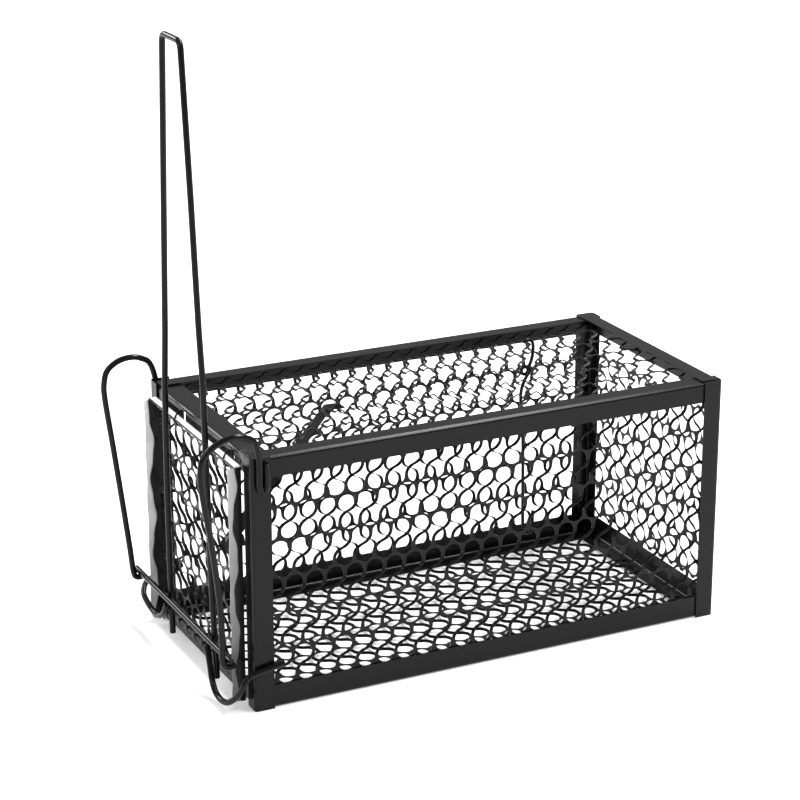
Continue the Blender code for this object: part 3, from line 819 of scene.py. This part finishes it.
def build_trigger():
    x, z = PIVOT.x, PIVOT.z
    above = [
        (x - 0.0008, TRIGGER_STEP, z + 0.0147),
        (x + 0.0014, TRIGGER_STEP, z + 0.0158),
        (x + 0.0040, TRIGGER_STEP, z + 0.0150),
        (x + 0.0051, TRIGGER_STEP, z + 0.0126),
        (x + 0.0048, TRIGGER_STEP, z + 0.0070),
        (x + 0.0036, TRIGGER_STEP, z + 0.0028),
    ]
    turn = []
    for i in range(13):
        share = i / 12
        angle = math.radians(15 - 375 * share)
        across = TRIGGER_COIL * math.cos(angle)
        rise = TRIGGER_COIL * math.sin(angle)
        turn.append((x + across, TRIGGER_STEP * (1 - 2 * share), z + rise))
    below = [
        (x - 0.0012, -TRIGGER_STEP, z - 0.0056),
        (x - 0.0030, -TRIGGER_STEP, z - 0.0120),
        (x - 0.0022, -TRIGGER_STEP * 0.5, z - 0.0220),
        (x - 0.0006, 0.0, z - 0.0400),
        (x + 0.0002, 0.0, z - 0.0860),
        (x + 0.0016, 0.0, z - 0.0905),
        (x + 0.0044, 0.0, z - 0.0912),
        (x + 0.0058, 0.0, z - 0.0880),
        (x + 0.0060, 0.0, z - 0.0790),
    ]
    wire("bait_trigger_wire", smooth_path(above + turn + below, 0.0016), TRIGGER_RADIUS, "trigger", ("bait_trigger",))


def build_strap():
    """The inner strap: a pad under the sagging top mesh, and a flat strip that slopes down towards the door."""
    low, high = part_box("inner_strap")
    under = high[2] - TOP_SAG
    flat = Z * -STRAP_THICK
    stations = [
        (high[0], under - 0.0002, STRAP_HALF, flat),
        (high[0] - STRAP_PAD / 2, under - 0.0001, STRAP_HALF, flat),
        (high[0] - STRAP_PAD + 0.0002, under, STRAP_HALF, flat),
    ]
    bend = Vector((high[0] - STRAP_PAD, 0.0, under))
    foot = Vector((low[0] + STRAP_THICK, 0.0, low[2] + STRAP_THICK))
    slope = (bend - foot).normalized()
    inward = Vector((slope.z, 0.0, -slope.x)) * STRAP_THICK
    steps = 10
    for i in range(steps + 1):
        share = i / steps
        place = bend.lerp(foot, share)
        half = STRAP_HALF + (STRAP_FOOT_HALF - STRAP_HALF) * share
        stations.append((place.x, place.z, half, inward))
    bm = bmesh.new()
    rings = []
    for x, z, half, thick in stations:
        corners = [Vector((x, -half, z)), Vector((x, half, z))]
        corners += [corners[1] + thick, corners[0] + thick]
        rings.append([bm.verts.new(c) for c in corners])
    skin(bm, rings, 4)
    finish_piece("inner_strap_strip", bm, STRAP_ENAMEL_PAINTED_SHADE, "cage", ("inner_strap",))


def dress_frame():
    """The CAD sheet-metal pieces have the right shape, so they stay, with enamel on them."""
    for name, node in frame["nodes"].items():
        if name.endswith(("post", "rail", "strip", "header", "sill")):
            look = WORN_ENAMEL if name in ("door_header", "near_top_rail") else ENAMEL
            node.data.materials.clear()
            node.data.materials.append(look)


def build_stage():
    bm = bmesh.new()
    half = FLOOR_HALF
    bm.faces.new([bm.verts.new(p) for p in ((-half, -half, 0), (half, -half, 0), (half, half, 0), (-half, half, 0))])
    mesh = bpy.data.meshes.new("floor")
    bm.to_mesh(mesh)
    bm.free()
    floor = bpy.data.objects.new("floor", mesh)
    bpy.context.collection.objects.link(floor)
    floor.location.z = -FLOOR_GAP
    n = Nodes("floor_paper")
    n.set(Base_Color=(0.90, 0.90, 0.90, 1.0), Roughness=0.9)
    n.shader.inputs["Specular IOR Level"].default_value = 0.0
    n.shader.inputs["Emission Color"].default_value = (1.0, 1.0, 1.0, 1.0)
    away = n.add("ShaderNodeVectorMath", {"Vector": n.place}, operation="LENGTH").outputs["Value"]
    n.set(Emission_Strength=n.ramp(away, *FLOOR_GLOW_REACH, FLOOR_GLOW, FLOOR_GLOW_FAR))
    mesh.materials.append(n.material)

    world = bpy.data.worlds.new("studio")
    bpy.context.scene.world = world
    world.use_nodes = True
    background = world.node_tree.nodes["Background"]
    background.inputs["Color"].default_value = (1.0, 1.0, 1.0, 1.0)
    background.inputs["Strength"].default_value = WORLD_STRENGTH
    bpy.context.scene.view_settings.view_transform = "Standard"

    for name, place, size, power in LIGHTS:
        lamp = bpy.data.lights.new(name, "AREA")
        lamp.shape = "RECTANGLE"
        lamp.size, lamp.size_y = size
        lamp.energy = power
        made = bpy.data.objects.new(name, lamp)
        made.location = place
        aim = Vector((0.0, 0.0, 0.08)) - Vector(place)
        made.rotation_euler = aim.to_track_quat("-Z", "Y").to_euler()
        bpy.context.collection.objects.link(made)


def build_camera():
    """The photograph's viewpoint: a long lens, a quarter turn short of square on, and above the cage."""
    turn = math.radians(CAMERA_AZIMUTH)
    rise = math.radians(CAMERA_ELEVATION)
    target = Vector(((FRONT + REAR) / 2 + CAMERA_TARGET_X, 0.0, CAMERA_TARGET_Z))
    back = Vector((math.sin(turn) * math.cos(rise), -math.cos(turn) * math.cos(rise), math.sin(rise)))
    lens = bpy.data.cameras.new("camera")
    lens.lens = CAMERA_LENS
    lens.sensor_width = 36.0
    camera = bpy.data.objects.new("camera", lens)
    camera.location = target + back * CAMERA_DISTANCE
    camera.rotation_euler = (math.pi / 2 - rise, 0.0, turn)
    bpy.context.collection.objects.link(camera)
    bpy.context.scene.camera = camera


dress_frame()
build_panels()
build_door()
build_wires()
build_springs()
build_trigger()
build_strap()
build_stage()
build_camera()
